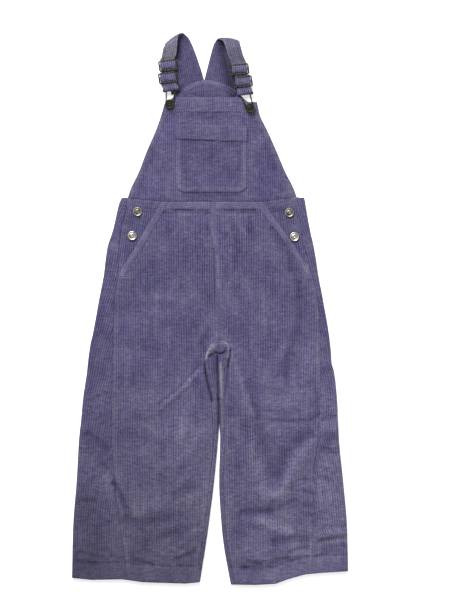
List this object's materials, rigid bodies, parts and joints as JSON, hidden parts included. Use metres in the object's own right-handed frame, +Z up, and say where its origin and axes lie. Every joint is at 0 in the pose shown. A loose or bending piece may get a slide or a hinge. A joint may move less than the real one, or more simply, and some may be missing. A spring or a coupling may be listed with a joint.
{
  "type": "bib overalls",
  "caption": "Child's wide-leg bib overalls in wide-wale corduroy, laid flat with the front up, straps fastened to the bib by wire buckles.",
  "frame": {"origin": "on the floor under the middle of the laid-out garment's bounding box", "axes": "+Y runs up the garment from the hems to the straps, +X to the right as seen from above, +Z up from the floor"},
  "size_m": [0.414, 0.8268, 0.0159],
  "materials": {
    "corduroy": "wide-wale cotton corduroy, dusty purple, soft ribbed pile",
    "stitched_corduroy": "the same corduroy in folded and topstitched strips, slightly rubbed",
    "antique_brass": "darkened antique brass plating, satin",
    "worn_nickel": "antiqued nickel plating, satin with dark mottling"
  },
  "bodies": {
    "root": {"front_left": "corduroy", "front_right": "corduroy", "back_left": "corduroy", "back_right": "corduroy", "hip_yoke_left": "corduroy", "hip_yoke_right": "corduroy", "bib_front": "corduroy", "bib_back": "corduroy", "bib_pocket": "corduroy", "strap_left": "corduroy", "strap_right": "corduroy", "pocket_edge_left": "stitched_corduroy", "pocket_edge_right": "stitched_corduroy", "waist_band_left": "stitched_corduroy", "waist_band_right": "stitched_corduroy", "centre_strip": "stitched_corduroy", "bib_hem": "stitched_corduroy", "bib_pocket_hem": "stitched_corduroy", "arch_band": "stitched_corduroy", "slide_left_upper": "antique_brass", "slide_left_lower": "antique_brass", "slide_right_upper": "antique_brass", "slide_right_lower": "antique_brass", "buckle_left": "antique_brass", "buckle_right": "antique_brass", "bib_button_left": "antique_brass", "bib_button_right": "antique_brass", "side_button_left_upper": "worn_nickel", "side_button_left_lower": "worn_nickel", "side_button_right_upper": "worn_nickel", "side_button_right_lower": "worn_nickel"}
  },
  "joints": []
}
